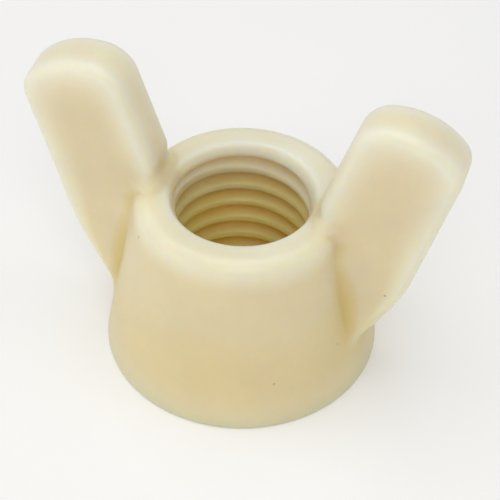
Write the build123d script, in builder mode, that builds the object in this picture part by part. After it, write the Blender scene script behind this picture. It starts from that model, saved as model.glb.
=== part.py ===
from build123d import *

import os
from math import radians, tan

# Moulded nylon wing nut, M12: a conical hub with a threaded bore and two solid wings, in one piece.
# The nut stands on its wide end, with its bore on +Z and its wings along X. Sizes in millimetres.

os.makedirs("parts", exist_ok=True)

# Hub: a slightly barrelled cone that stands on its wide end
base_radius = 10.75
top_radius = 7.95
hub_height = 14.7
side_bulge = 0.06
base_edge_radius = 0.3
rim_radius = 0.95

# Thread: M12 x 1.75, between a lead-in cone below and a steeper one at the mouth. The groove is only
# 0.5 mm deep, so more than half of the bore's wall stays at the crests' radius.
pitch = 1.75
crest_radius = 5.1
root_radius = 5.6
root_flat = pitch / 8
flank_angle = 30.0
lead_in_radius = 6.15
lead_in_depth = 0.95
mouth_radius = 5.65
mouth_depth = 0.8
thread_start = -1.29
thread_turns = 8.6
groove_overlap = 0.3

# Wings: one outline, measured from the bore's axis (X outwards, Z up)
lean = 18.5
inner_tip = (9.0, 24.5)
outer_tip = (16.75, 22.0)
outer_knee = (13.15, 9.1)
outer_shin = (11.15, 5.7)
outer_foot = (8.5, 2.6)
wall_x = 6.4
buried_depth = 6.0
buried_x = 3.0
tip_crown = 1.65
inner_tip_radius = 2.8
outer_tip_radius = 2.1
knee_radius = 15.0
shin_radius = 20.0
bend_radius = 1.5
wing_thickness = 3.65
wing_draft = 0.6
wing_reach = 30.0
wing_edge_radius = 0.7

with BuildPart() as wing:
    # Outline: an upright wall over the ring, a leaning inner side, a crowned tip and a bent outer side
    wall_foot = (wall_x, hub_height - buried_depth)
    wall_bend = (wall_x, inner_tip[1] - (inner_tip[0] - wall_x) / tan(radians(lean)))
    tip_edge = Vector(*outer_tip) - Vector(*inner_tip)
    tip_middle = Vector(*inner_tip) + tip_edge / 2 + tip_edge.normalized().rotate(Axis.Z, 90) * tip_crown
    with BuildSketch(Plane(origin=(0, 0, 0), x_dir=(-1, 0, 0), z_dir=(0, 1, 0))) as outline:
        with BuildLine():
            Polyline(wall_foot, wall_bend, inner_tip)
            ThreePointArc(inner_tip, tip_middle, outer_tip)
            Polyline(outer_tip, outer_knee, outer_shin, outer_foot, (buried_x, outer_foot[1]), wall_foot)
        make_face()
        fillet(outline.vertices().sort_by_distance(inner_tip)[0], inner_tip_radius)
        fillet(outline.vertices().sort_by_distance(outer_tip)[0], outer_tip_radius)
        fillet(outline.vertices().sort_by_distance(outer_knee)[0], knee_radius)
        fillet(outline.vertices().sort_by_distance(outer_shin)[0], shin_radius)
        fillet(outline.vertices().sort_by_distance(wall_bend)[0], bend_radius)
    extrude(amount=wing_thickness, both=True)
    # Both faces are drafted, so the wing thickens towards its tip
    foot_half = wing_thickness / 2 - tan(radians(wing_draft)) * hub_height
    tip_half = foot_half + tan(radians(wing_draft)) * wing_reach
    with BuildSketch(Plane.YZ):
        with BuildLine():
            Polyline(
                (-foot_half, 0), (foot_half, 0), (tip_half, wing_reach), (-tip_half, wing_reach), close=True
            )
        make_face()
    extrude(amount=-wing_reach, mode=Mode.INTERSECT)
    free_edges = wing.edges().filter_by(lambda e: e.center().X < -6.0 and e.center().Z > 3)
    fillet(free_edges.filter_by(lambda e: abs(e.center().Y) > 1.3), wing_edge_radius)

with BuildPart() as groove:
    # The thread's groove, from below the base up to the mouth's cone
    with BuildLine() as helix:
        Helix(pitch, thread_turns * pitch, crest_radius, center=(0, 0, thread_start))
    groove_half = root_flat / 2 + (root_radius - crest_radius) * tan(radians(flank_angle))
    open_half = groove_half + groove_overlap * tan(radians(flank_angle))
    with BuildSketch(Plane(origin=helix.line @ 0, x_dir=(1, 0, 0), z_dir=helix.line % 0)):
        with BuildLine():
            Polyline(
                (-groove_overlap, -open_half),
                (root_radius - crest_radius, -root_flat / 2),
                (root_radius - crest_radius, root_flat / 2),
                (-groove_overlap, open_half),
                close=True,
            )
        make_face()
    sweep(path=helix.line, is_frenet=True)

with BuildPart() as wing_nut:
    # Hub, solid for now
    with BuildSketch(Plane.YZ):
        with BuildLine():
            side_middle = ((base_radius + top_radius) / 2 + side_bulge, hub_height / 2)
            Line((0, 0), (base_radius, 0))
            ThreePointArc((base_radius, 0), side_middle, (top_radius, hub_height))
            Line((top_radius, hub_height), (0, hub_height))
            Line((0, hub_height), (0, 0))
        make_face()
    revolve(axis=Axis.Z)
    fillet(wing_nut.edges().group_by(Axis.Z)[-1], rim_radius)
    fillet(wing_nut.edges().group_by(Axis.Z)[0], base_edge_radius)
    add(wing.part)
    mirror(wing.part, about=Plane.YZ)
    # Bore, with its lead-in cone and its mouth
    with BuildSketch(Plane.XZ):
        with BuildLine():
            Polyline(
                (0, 0),
                (lead_in_radius, 0),
                (crest_radius, lead_in_depth),
                (crest_radius, hub_height - mouth_depth),
                (mouth_radius, hub_height),
                (0, hub_height),
                close=True,
            )
        make_face()
    revolve(axis=Axis.Z, mode=Mode.SUBTRACT)
    add(groove.part, mode=Mode.SUBTRACT, clean=False)

print("wing nut", wing_nut.part.is_valid, len(wing_nut.part.solids()), round(wing_nut.part.volume, 1))
wing_nut.part.label = "wing_nut"
export_step(wing_nut.part, "parts/wing_nut.step")
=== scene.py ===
import math

import bpy
import numpy as np
from mathutils import Matrix, Vector


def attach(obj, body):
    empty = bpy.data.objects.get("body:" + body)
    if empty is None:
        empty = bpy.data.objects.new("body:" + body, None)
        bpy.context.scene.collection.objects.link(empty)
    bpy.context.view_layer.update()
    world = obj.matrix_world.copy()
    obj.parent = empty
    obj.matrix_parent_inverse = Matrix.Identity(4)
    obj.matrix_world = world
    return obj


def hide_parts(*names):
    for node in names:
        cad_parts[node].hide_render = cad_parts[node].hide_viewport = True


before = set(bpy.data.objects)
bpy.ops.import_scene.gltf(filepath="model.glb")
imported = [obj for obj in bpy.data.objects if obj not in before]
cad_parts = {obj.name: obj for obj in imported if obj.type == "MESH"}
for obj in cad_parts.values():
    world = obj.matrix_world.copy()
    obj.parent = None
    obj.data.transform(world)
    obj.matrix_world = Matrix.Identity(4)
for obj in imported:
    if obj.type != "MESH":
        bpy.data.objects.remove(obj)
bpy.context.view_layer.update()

# One moulded nylon wing nut. The frame's solid carries the sizes. The piece made here is a closed mesh
# over a distance field with those sizes, plus what moulding adds: root radii, soft edges, wings that
# thicken at the hub, and a full-depth thread that fades out at the top. Shape sizes are in millimetres,
# with X along the wings and Z up the bore.
MM = 0.001

# ---------------------------------------------------------------- sizes, the same as the solid's
# hub: a cone on its wide end, with a slight bulge
BASE_R, TOP_R, HUB_H, BULGE = 10.75, 7.95, 14.7, 0.06
BASE_EDGE, RIM = 0.3, 0.95

# wing, from the front: a wall over the ring, a leaning inner side, a crowned tip and a bent outer side
WALL_X, LEAN, BEND_R = 6.4, math.radians(18.5), 1.5
INNER_TIP, OUTER_TIP, CROWN = (9.0, 24.5), (16.75, 22.0), 1.65
KNEE, SHIN, FOOT = (13.15, 9.1), (11.15, 5.7), (8.5, 2.6)
INNER_TIP_R, OUTER_TIP_R, KNEE_R, SHIN_R, FOOT_R = 2.8, 2.1, 15.0, 20.0, 0.01
BURIED_DEPTH, BURIED_X = 6.0, 3.0
THICK, DRAFT, EDGE = 3.65, 0.01, 0.7

# bore and thread; the groove goes down to the root of M12, and the solid's stops at 5.6
PITCH, CREST_R, ROOT_R = 1.75, 5.1, 6.05
ROOT_FLAT, FLANK = PITCH / 8, math.radians(30)
THREAD_START, THREAD_TURNS = -1.29, 8.75
LEAD_IN, LEAD_IN_R = 0.95, 6.15
MOUTH_R, MOUTH_DEPTH = 5.65, 0.8

# ---------------------------------------------------------------- what the moulding adds
# root radii: over the ring, along the cone and at the wing's foot, and where each one takes over
RING_BLEND, CREASE_BLEND, FOOT_BLEND = 1.3, 0.15, 0.9
CREASE_ABOVE, CREASE_RUN = 0.4, 1.1
FOOT_TOP, FOOT_RUN = 6.0, 3.0
# the wing's thickening at the cone, on each side
FLARE, FLARE_REACH, FLARE_ABOVE, FLARE_RUN = 1.1, 1.6, 0.5, 3.0
# soft thread
CREST_ROUND, FADE_TURNS = 0.1, 0.6
MOUTH_ROUND, MOUTH_FOOT_ROUND = 0.12, 0.45

# ---------------------------------------------------------------- mesh and inner light
VOXEL, SETTLE_ROUNDS = 0.14, 3
MESH_LOW, MESH_HIGH = (-18.0, -11.5, -0.7), (18.0, 11.5, 26.2)
LIGHT_STEP, LIGHT_ROUNDS = 0.4, 200
LIGHT_LOW, LIGHT_HIGH = (-18.0, -12.0, -1.2), (18.0, 12.0, 26.4)
# how far light gets into the nylon, and how deep under the skin it is read
LIGHT_REACH, SKIN_DEPTH = 3.0, 1.2
# painted shade: light in the bore falls from 1 at the mouth to this, and near the floor by the second amount
BORE_LIGHT_R, BORE_LIGHT, BORE_RUN = 6.3, 0.6, 4.6
FLOOR_LOSS, FLOOR_RUN = 0.12, 0.5
# painted shade at the base: below this height the grid counts as solid, so no light comes in from underneath
UNDERSIDE = 0.1
# painted shade: the crease between a wing and the cone is as dark as this, on the wing's side
CREASE_LIGHT, CREASE_REACH, CREASE_STRENGTH = 0.71, 3.0, 5.0
SIDEWAYS_FROM, SIDEWAYS_RUN = 0.45, 0.3
OUTSIDE_BORE = 7.0


def rounded_line(corners, radii, steps=14):
    """Straight runs through the corners, with an arc of the given radius at each inner one."""
    line = [np.array(corners[0], float)]
    for i, radius in enumerate(radii, start=1):
        a, b, c = (np.array(corners[j], float) for j in (i - 1, i, i + 1))
        u, v = (a - b) / np.linalg.norm(a - b), (c - b) / np.linalg.norm(c - b)
        half = math.acos(float(u @ v)) / 2
        centre = b + (u + v) / np.linalg.norm(u + v) * radius / math.sin(half)
        p0, p1 = (b + w * radius / math.tan(half) - centre for w in (u, v))
        start = math.atan2(p0[1], p0[0])
        turn = (math.atan2(p1[1], p1[0]) - start + math.pi) % (2 * math.pi) - math.pi
        for k in range(steps + 1):
            t = start + turn * k / steps
            line.append(centre + radius * np.array([math.cos(t), math.sin(t)]))
    line.append(np.array(corners[-1], float))
    return line


def arc(centre, radius, first, last, steps=14):
    """Points on the short way round a circle, from one point to another."""
    start = math.atan2(first[1] - centre[1], first[0] - centre[0])
    turn = math.atan2(last[1] - centre[1], last[0] - centre[0]) - start
    turn = (turn + math.pi) % (2 * math.pi) - math.pi
    angles = [start + turn * k / steps for k in range(steps + 1)]
    return [centre + radius * np.array([math.cos(t), math.sin(t)]) for t in angles]


def tip_corner(corner, along, centre, crown_radius, radius):
    """The small circle that rounds a corner between a side, inside it on the right, and the tip's arc."""
    inward = np.array([along[1], -along[0]])
    off = corner + inward * radius - centre
    half = off @ along
    root = math.sqrt(half * half - off @ off + (crown_radius - radius) ** 2)
    choices = (off + centre + along * (root * sign - half) for sign in (-1, 1))
    middle = min(choices, key=lambda m: math.dist(m, corner))
    on_crown = centre + (middle - centre) * crown_radius / (crown_radius - radius)
    return middle, middle - inward * radius, on_crown


def wing_outline():
    """The wing seen from the front, as a closed line of (x, z) points."""
    inner, outer, knee = np.array(INNER_TIP), np.array(OUTER_TIP), np.array(KNEE)
    chord = np.linalg.norm(outer - inner)
    along = (outer - inner) / chord
    crown_radius = (chord * chord / 4 + CROWN * CROWN) / (2 * CROWN)
    centre = (inner + outer) / 2 + np.array([-along[1], along[0]]) * (CROWN - crown_radius)
    bend = np.array([WALL_X, INNER_TIP[1] - (INNER_TIP[0] - WALL_X) / math.tan(LEAN)])
    up = (inner - bend) / np.linalg.norm(inner - bend)
    down = (knee - outer) / np.linalg.norm(knee - outer)
    m1, side1, top1 = tip_corner(inner, up, centre, crown_radius, INNER_TIP_R)
    m2, side2, top2 = tip_corner(outer, down, centre, crown_radius, OUTER_TIP_R)
    wall = [(WALL_X, HUB_H - BURIED_DEPTH), tuple(bend), tuple(side1)]
    line = rounded_line(wall, [BEND_R])[:-1] + arc(m1, INNER_TIP_R, side1, top1)
    line += arc(centre, crown_radius, top1, top2)[1:-1] + arc(m2, OUTER_TIP_R, top2, side2)
    line += rounded_line([tuple(side2), KNEE, SHIN, FOOT, (BURIED_X, FOOT[1])], [KNEE_R, SHIN_R, FOOT_R])[1:]
    return np.array(line)


class FlatField:
    """Signed distance to a closed line in the XZ plane, kept on a fine grid and read between its points."""

    def __init__(self, line, low, high, step):
        self.low, self.step = np.array(low), step
        xs = np.arange(low[0], high[0] + step, step)
        zs = np.arange(low[1], high[1] + step, step)
        px, pz = (g.ravel() for g in np.meshgrid(xs, zs, indexing="ij"))
        best = np.full(px.shape, 1e9)
        inside = np.zeros(px.shape, bool)
        for (ax, az), (bx, bz) in zip(line, np.roll(line, -1, axis=0)):
            ex, ez = bx - ax, bz - az
            t = np.clip(((px - ax) * ex + (pz - az) * ez) / (ex * ex + ez * ez), 0, 1)
            best = np.minimum(best, (px - ax - t * ex) ** 2 + (pz - az - t * ez) ** 2)
            if az != bz:
                crosses = ((az > pz) != (bz > pz)) & (px < ax + (pz - az) * ex / ez)
                inside ^= crosses
        self.values = (np.sqrt(best) * np.where(inside, -1, 1)).reshape(len(xs), len(zs))

    def __call__(self, x, z):
        n, m = self.values.shape
        fx = np.clip((x - self.low[0]) / self.step, 0, n - 1.001)
        fz = np.clip((z - self.low[1]) / self.step, 0, m - 1.001)
        i, k = fx.astype(int), fz.astype(int)
        fx, fz = fx - i, fz - k
        v = self.values
        return (v[i, k] * (1 - fx) + v[i + 1, k] * fx) * (1 - fz) + (
            v[i, k + 1] * (1 - fx) + v[i + 1, k + 1] * fx
        ) * fz


def meet(a, b, radius):
    """Where both hold, with the edge between them rounded off."""
    far = np.maximum(a, b)
    near = np.hypot(np.maximum(a + radius, 0), np.maximum(b + radius, 0)) - radius
    return np.where(far > -radius, np.maximum(near, far), far)


def join(a, b, radius):
    """Where either holds, with the crease between them filled."""
    return -meet(-a, -b, radius)


def ease(t):
    """A soft change from 0 to 1 as t goes from 0 to 1."""
    t = np.clip(t, 0, 1)
    return t * t * (3 - 2 * t)


FLAT_LOW, FLAT_HIGH, FLAT_STEP = (0.0, -2.0), (20.0, 28.0), 0.05
wing_flat = FlatField(wing_outline(), FLAT_LOW, FLAT_HIGH, FLAT_STEP)


def thread_air(x, y, r, z):
    """The bore without its two cones: below zero inside the crests and in the groove."""
    turn = np.arctan2(y, x) / (2 * math.pi)
    count = np.round((z - THREAD_START) / PITCH - turn)
    axial = z - THREAD_START - (count + turn) * PITCH
    fade = ease((THREAD_TURNS - (count + turn)) / FADE_TURNS)
    depth = (ROOT_R - CREST_R) * fade
    half_width = ROOT_FLAT / 2 * fade + (CREST_R + depth - r) * math.tan(FLANK)
    groove = meet((np.abs(axial) - half_width) * math.cos(FLANK), r - CREST_R - depth, CREST_ROUND)
    return join(r - CREST_R, groove, CREST_ROUND)


def nut(p):
    """Signed distance, near enough, from points in millimetres to the nut's surface."""
    x, y, z = p
    r = np.hypot(x, y)
    t = np.clip(z / HUB_H, -0.2, 1.2)
    side = r - (BASE_R + (TOP_R - BASE_R) * t + 4 * BULGE * t * (1 - t))
    side = side * math.cos(math.atan((BASE_R - TOP_R) / HUB_H))
    hub = meet(meet(side, z - HUB_H, RIM), -z, BASE_EDGE)
    flare = FLARE * ease((HUB_H + FLARE_ABOVE - z) / FLARE_RUN) * np.exp(-np.maximum(side, 0) / FLARE_REACH)
    face = np.abs(y) - (THICK / 2 + (z - HUB_H) * DRAFT + flare)
    wing = meet(wing_flat(np.abs(x), z), face, EDGE)
    on_cone = ease((HUB_H + CREASE_ABOVE - z) / CREASE_RUN)
    at_foot = np.clip((FOOT_TOP - z) / FOOT_RUN, 0, 1)
    body = join(hub, wing, RING_BLEND + (CREASE_BLEND - RING_BLEND) * on_cone + FOOT_BLEND * at_foot)
    taper = (MOUTH_R - CREST_R) / MOUTH_DEPTH
    mouth = (r - MOUTH_R - np.minimum(z - HUB_H, 0) * taper) * math.cos(math.atan(taper))
    top_groove = np.clip((z - HUB_H + MOUTH_DEPTH + PITCH / 2) / (PITCH / 2), 0, 1)
    air = join(thread_air(x, y, r, z), mouth, MOUTH_ROUND + (MOUTH_FOOT_ROUND - MOUTH_ROUND) * top_groove)
    taper = (LEAD_IN_R - CREST_R) / LEAD_IN
    air = np.minimum(air, (r - (LEAD_IN_R - z * taper)) * math.cos(math.atan(taper)))
    return meet(body, -air, MOUTH_ROUND)


def surface(field, low, high, step):
    """A mesh of quads over the zero surface of a field: one point per cell it passes through."""
    axes = [np.arange(a, b + step, step) for a, b in zip(low, high)]
    shape = [len(a) for a in axes]
    values = np.empty(shape, np.float32)
    slab = 8
    for k in range(0, shape[2], slab):
        grid = np.meshgrid(axes[0], axes[1], axes[2][k : k + slab], indexing="ij")
        values[:, :, k : k + slab] = field(grid)
    inside = values < 0
    total = np.zeros([n - 1 for n in shape] + [3], np.float32)
    count = np.zeros([n - 1 for n in shape], np.int16)
    crossings = []
    for axis in range(3):
        first = [slice(None)] * 3
        second = [slice(None)] * 3
        first[axis], second[axis] = slice(0, -1), slice(1, None)
        change = np.argwhere(inside[tuple(first)] != inside[tuple(second)])
        other = change.copy()
        other[:, axis] += 1
        a = values[tuple(change.T)]
        b = values[tuple(other.T)]
        spot = change.astype(np.float32)
        spot[:, axis] += a / (a - b)
        u, v = (axis + 1) % 3, (axis + 2) % 3
        keep = (change[:, u] > 0) & (change[:, v] > 0)
        keep &= (change[:, u] < shape[u] - 1) & (change[:, v] < shape[v] - 1)
        change, spot, a = change[keep], spot[keep], a[keep]
        cells = []
        for du, dv in ((1, 1), (0, 1), (0, 0), (1, 0)):
            cell = change.copy()
            cell[:, u] -= du
            cell[:, v] -= dv
            np.add.at(total, tuple(cell.T), spot)
            np.add.at(count, tuple(cell.T), 1)
            cells.append(cell)
        crossings.append((cells, a < 0))
    used = count > 0
    number = np.full(count.shape, -1, np.int64)
    number[used] = np.arange(used.sum())
    points = (total[used] / count[used][:, None]).astype(float) * step + np.array(low)
    quads = []
    for cells, outward in crossings:
        ring = np.stack([number[tuple(c.T)] for c in cells], axis=1)
        ring[~outward] = ring[~outward][:, ::-1]
        quads.append(ring)
    return points, np.concatenate(quads)


def slope_of(field, points, step=0.01):
    """The field's gradient at each point."""
    slope = np.empty_like(points)
    for axis in range(3):
        move = np.zeros(3)
        move[axis] = step
        slope[:, axis] = (field((points + move).T) - field((points - move).T)) / (2 * step)
    return slope


def settle(field, points, rounds, reach):
    """Moves each point onto the zero surface along the field's slope."""
    for _ in range(rounds):
        here = field(points.T)
        slope = slope_of(field, points)
        size = (slope**2).sum(axis=1) + 1e-6
        points = points - slope * np.clip(here / size, -reach, reach)[:, None]
    return points


def mesh_piece(name, points, quads):
    """A smooth-shaded mesh object in metres."""
    mesh = bpy.data.meshes.new(name)
    mesh.vertices.add(len(points))
    mesh.vertices.foreach_set("co", (points * MM).astype(np.float32).ravel())
    mesh.loops.add(quads.size)
    mesh.loops.foreach_set("vertex_index", quads.astype(np.int32).ravel())
    mesh.polygons.add(len(quads))
    mesh.polygons.foreach_set("loop_start", np.arange(0, quads.size, 4, dtype=np.int32))
    mesh.polygons.foreach_set("use_smooth", np.ones(len(quads), bool))
    mesh.update(calc_edges=True)
    mesh.validate()
    piece = bpy.data.objects.new(name, mesh)
    bpy.context.scene.collection.objects.link(piece)
    return piece


def light_inside(field):
    """How much light is left inside the nut, on a grid: 1 at the outer surface, less in the bore and near the
    floor as painted shade, and less the deeper in.
    """
    axes = [np.arange(a, b + LIGHT_STEP, LIGHT_STEP) for a, b in zip(LIGHT_LOW, LIGHT_HIGH)]
    x, y, z = np.meshgrid(*axes, indexing="ij")
    solid = field((x, y, np.maximum(z, UNDERSIDE))) < 0
    bore = (np.hypot(x, y) < BORE_LIGHT_R) & (z < HUB_H)
    in_bore = BORE_LIGHT + (1 - BORE_LIGHT) * np.exp(-(((HUB_H - z) / BORE_RUN) ** 2))
    outside = 1 - FLOOR_LOSS * np.exp(-np.maximum(z, 0) / FLOOR_RUN)
    light = np.where(bore, in_bore, outside)
    still = light.copy()
    loss = 6 + (LIGHT_STEP / LIGHT_REACH) ** 2
    inner = (slice(1, -1),) * 3
    for _ in range(LIGHT_ROUNDS):
        around = light[2:, 1:-1, 1:-1] + light[:-2, 1:-1, 1:-1]
        around += light[1:-1, 2:, 1:-1] + light[1:-1, :-2, 1:-1]
        around += light[1:-1, 1:-1, 2:] + light[1:-1, 1:-1, :-2]
        light[inner] = np.where(solid[inner], around / loss, still[inner])
    return light


def read_grid(grid, low, step, points):
    """Values between the grid's points."""
    spot = (points - np.array(low)) / step
    cell = np.clip(spot.astype(int), 0, np.array(grid.shape) - 2)
    part = spot - cell
    total = np.zeros(len(points))
    for corner in range(8):
        pick = np.array([corner >> 2 & 1, corner >> 1 & 1, corner & 1])
        weight = np.where(pick, part, 1 - part).prod(axis=1)
        total += weight * grid[tuple((cell + pick).T)]
    return total


def skin_glow(points, normals):
    """The light just under the skin at each point, with painted shade in the creases between the wings and
    the cone.
    """
    light = light_inside(nut)
    glow = read_grid(light, LIGHT_LOW, LIGHT_STEP, points - normals * SKIN_DEPTH)
    # painted shade: points on sideways-facing surfaces below the ring and outside the bore are darkened by
    # how closed in they are
    crevice = np.clip(1 - nut((points + normals * CREASE_REACH).T) / CREASE_REACH, 0, 1)
    sideways = np.clip((np.abs(normals[:, 1]) - SIDEWAYS_FROM) / SIDEWAYS_RUN, 0, 1)
    below_ring = np.clip(HUB_H - points[:, 2], 0, 1)
    shade = crevice * sideways * below_ring * (np.hypot(points[:, 0], points[:, 1]) > OUTSIDE_BORE)
    glow += (np.minimum(glow, CREASE_LIGHT) - glow) * (1 - np.exp(-CREASE_STRENGTH * shade))
    return np.clip(glow, 0, 1)


points, quads = surface(nut, MESH_LOW, MESH_HIGH, VOXEL)
points = settle(nut, points, SETTLE_ROUNDS, VOXEL)
normals = slope_of(nut, points)
normals /= np.linalg.norm(normals, axis=1)[:, None] + 1e-9
body = mesh_piece("nut_body", points, quads)
layer = body.data.attributes.new("glow", "FLOAT", "POINT")
layer.data.foreach_set("value", skin_glow(points, normals).astype(np.float32))

# ---------------------------------------------------------------- material
nylon = bpy.data.materials.new("natural_nylon")
nylon.use_nodes = True
nodes, links = nylon.node_tree.nodes, nylon.node_tree.links
shader = nodes["Principled BSDF"]


def node(kind, **inputs):
    """A node with the named inputs set, or linked when the value is a socket."""
    made = nodes.new(kind)
    for name, value in inputs.items():
        socket = made.inputs[name.replace("_", " ")]
        if isinstance(value, bpy.types.NodeSocket):
            links.new(value, socket)
        else:
            socket.default_value = value
    return made


def map_range(value, low, high, to_low, to_high):
    """The result of a Map Range node."""
    made = node("ShaderNodeMapRange", Value=value, From_Min=low, From_Max=high, To_Min=to_low, To_Max=to_high)
    return made.outputs["Result"]


# painted light and shade: the colour at each amount of light under the skin, amber where little is left
# (thick places, the deep bore, the creases, the base) and pale where much is (thin edges)
GLOW_COLOURS = (
    (0.62, (0.86, 0.69, 0.23, 1)),
    (0.725, (0.75, 0.60, 0.22, 1)),
    (0.775, (0.79, 0.69, 0.44, 1)),
    (0.85, (0.79, 0.70, 0.45, 1)),
    (0.88, (0.82, 0.765, 0.56, 1)),
    (0.905, (0.83, 0.795, 0.64, 1)),
    (0.93, (0.84, 0.82, 0.70, 1)),
)
seen = node("ShaderNodeAttribute")
seen.attribute_name = "glow"
tint = node("ShaderNodeValToRGB", Fac=seen.outputs["Fac"])
stops = tint.color_ramp.elements
stops[0].position, stops[0].color = GLOW_COLOURS[0]
stops[1].position, stops[1].color = GLOW_COLOURS[-1]
for place, colour in GLOW_COLOURS[1:-1]:
    stops.new(place).color = colour

# faint clouds in the plastic
spot = node("ShaderNodeTexCoord").outputs["Object"]
clouds = node("ShaderNodeTexNoise", Vector=spot, Scale=260.0, Detail=3.0).outputs["Fac"]
cloudy = node("ShaderNodeVectorMath", Vector=tint.outputs["Color"])
cloudy.operation = "SCALE"
links.new(map_range(clouds, 0.3, 0.7, 0.975, 1.02), cloudy.inputs["Scale"])

# a few tiny dark specks: a dot at the middle of some cells
SPECK_COLOUR = (0.30, 0.20, 0.08, 1)
cells = node("ShaderNodeTexVoronoi", Vector=spot, Scale=330.0)
pick = node("ShaderNodeSeparateColor", Color=cells.outputs["Color"])
speck = node("ShaderNodeMath")
speck.operation = "MULTIPLY"
links.new(map_range(cells.outputs["Distance"], 0.03, 0.05, 1.0, 0.0), speck.inputs[0])
links.new(map_range(pick.outputs["Red"], 0.55, 0.8, 0.0, 0.5), speck.inputs[1])
speckled = node("ShaderNodeMix")
speckled.data_type = "RGBA"
links.new(speck.outputs["Value"], speckled.inputs["Factor"])
links.new(cloudy.outputs["Vector"], speckled.inputs["A"])
speckled.inputs["B"].default_value = SPECK_COLOUR
links.new(speckled.outputs["Result"], shader.inputs["Base Color"])

# satin skin: fine grain over a slight waviness, and a gloss that varies with the clouds
links.new(map_range(clouds, 0.3, 0.7, 0.32, 0.42), shader.inputs["Roughness"])
waves = node("ShaderNodeTexNoise", Vector=spot, Scale=420.0, Detail=2.0).outputs["Fac"]
swell = node("ShaderNodeBump", Height=waves, Strength=0.25, Distance=0.08 * MM).outputs["Normal"]
grain = node("ShaderNodeTexNoise", Vector=spot, Scale=4200.0, Detail=4.0, Roughness=0.6).outputs["Fac"]
skin = node("ShaderNodeBump", Height=grain, Normal=swell, Strength=0.3, Distance=0.01 * MM)
links.new(skin.outputs["Normal"], shader.inputs["Normal"])
shader.inputs["IOR"].default_value = 1.53
shader.inputs["Subsurface Weight"].default_value = 1.0
shader.inputs["Subsurface Radius"].default_value = (1.0, 0.75, 0.3)
shader.inputs["Subsurface Scale"].default_value = LIGHT_REACH * MM
body.data.materials.append(nylon)
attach(body, "root")
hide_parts("wing_nut")

# ---------------------------------------------------------------- floor
FLOOR_HALF = 1.0
floor_mesh = bpy.data.meshes.new("floor")
floor_corners = [(FLOOR_HALF * i, FLOOR_HALF * j, 0) for i, j in ((-1, -1), (1, -1), (1, 1), (-1, 1))]
floor_mesh.from_pydata(floor_corners, [], [(0, 1, 2, 3)])
floor = bpy.data.objects.new("floor", floor_mesh)
bpy.context.scene.collection.objects.link(floor)
paper = bpy.data.materials.new("paper")
paper.use_nodes = True
paper_inputs = paper.node_tree.nodes["Principled BSDF"].inputs
paper_inputs["Base Color"].default_value = (0.9, 0.9, 0.9, 1)
paper_inputs["Roughness"].default_value = 0.9
paper_inputs["Emission Color"].default_value = (1, 1, 1, 1)
paper_inputs["Emission Strength"].default_value = 0.1
floor.data.materials.append(paper)

# ---------------------------------------------------------------- camera
AZIMUTH, ELEVATION, ROLL = math.radians(18.16), math.radians(45.19), math.radians(0.72)
DISTANCE, FOCAL_PX = 139.0, 1790.4
SENSOR, FRAME_PX = 36.0, 500
# the camera turns about this height on the bore's axis, and looks a little beside it
PIVOT_Z, ASIDE, ABOVE = 7.345, 0.62, 0.94
back = Vector(
    (
        math.sin(AZIMUTH) * math.cos(ELEVATION),
        -math.cos(AZIMUTH) * math.cos(ELEVATION),
        math.sin(ELEVATION),
    )
)
camera = bpy.data.objects.new("camera", bpy.data.cameras.new("camera"))
bpy.context.scene.collection.objects.link(camera)
camera.data.sensor_width = SENSOR
camera.data.lens = FOCAL_PX * SENSOR / FRAME_PX
camera.data.clip_start, camera.data.clip_end = 0.01, 10
roll = Matrix.Rotation(ROLL, 3, "Z").to_quaternion()
level = (-back).to_track_quat("-Z", "Y") @ roll
sight = -back * DISTANCE + level @ Vector((ASIDE, ABOVE, 0))
camera.rotation_mode = "QUATERNION"
camera.rotation_quaternion = sight.to_track_quat("-Z", "Y") @ roll
camera.location = (Vector((0, 0, PIVOT_Z)) + back * DISTANCE) * MM
bpy.context.scene.camera = camera

# ---------------------------------------------------------------- light
bpy.context.scene.view_settings.view_transform = "Standard"
world = bpy.context.scene.world or bpy.data.worlds.new("world")
bpy.context.scene.world = world
world.use_nodes = True
sky = world.node_tree.nodes["Background"].inputs
sky["Color"].default_value = (1.0, 0.99, 0.97, 1)
sky["Strength"].default_value = 0.40
LAMP_AIM = Vector((0, 0, 0.01))


def soft_box(name, place, size, power):
    """A square lamp that looks at the nut."""
    lamp = bpy.data.lights.new(name, "AREA")
    lamp.shape = "SQUARE"
    lamp.size = size
    lamp.energy = power
    holder = bpy.data.objects.new(name, lamp)
    bpy.context.scene.collection.objects.link(holder)
    holder.location = place
    holder.rotation_mode = "QUATERNION"
    holder.rotation_quaternion = (LAMP_AIM - Vector(place)).to_track_quat("-Z", "Y")


soft_box("overhead", (-0.03, 0.02, 0.35), 0.3, 0.45)
soft_box("left", (-0.3, -0.02, 0.22), 0.2, 0.07)
soft_box("right", (0.3, 0, 0.15), 0.2, 0.02)
soft_box("high_front", (0.1, -0.25, 0.33), 0.2, 0.33)
soft_box("left_front", (-0.22, -0.25, 0.12), 0.2, 0.14)
